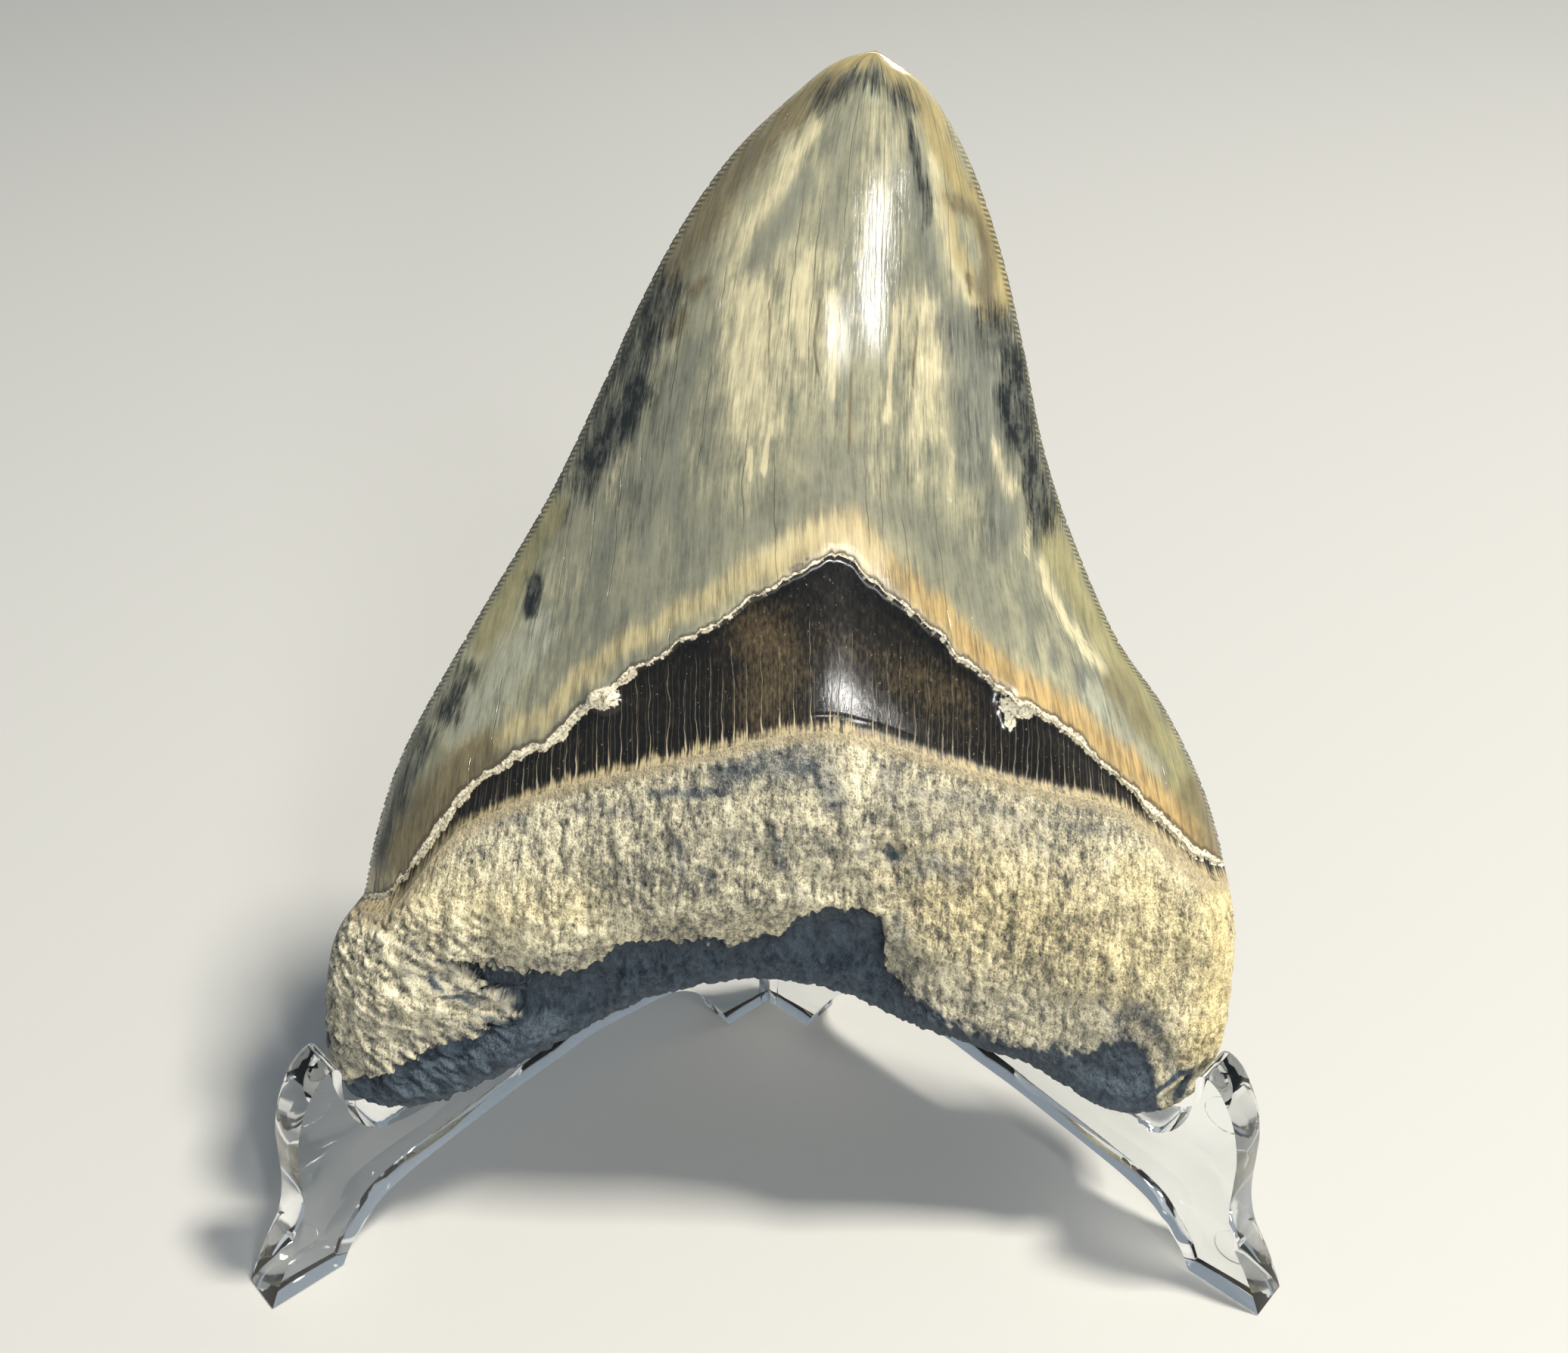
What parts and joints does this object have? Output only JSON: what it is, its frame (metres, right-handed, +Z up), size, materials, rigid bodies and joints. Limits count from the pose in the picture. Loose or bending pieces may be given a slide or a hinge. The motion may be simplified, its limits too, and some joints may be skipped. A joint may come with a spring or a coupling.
{
  "type": "megalodon tooth on a clear display easel",
  "caption": "Large fossil shark tooth with serrated crown, dark neck band and rough root, standing on a clear two-arm folding easel.",
  "frame": {"origin": "on the ground, at the middle of the object's bounding box", "axes": "+X to the right as seen from the front, -Y the side that the tooth's inner face looks to, +Z up"},
  "size_m": [0.1386, 0.0644, 0.1463],
  "materials": {
    "fossil": "polished grey and cream enamel over a dark neck band and a rough matt root",
    "clear_plastic": "clear polished acrylic",
    "pin_plastic": "clear acrylic rod"
  },
  "bodies": {
    "root": {"megalodon_tooth": "fossil", "easel_arm_left": "clear_plastic", "easel_arm_right": "clear_plastic", "hinge_pin": "pin_plastic"}
  },
  "joints": []
}
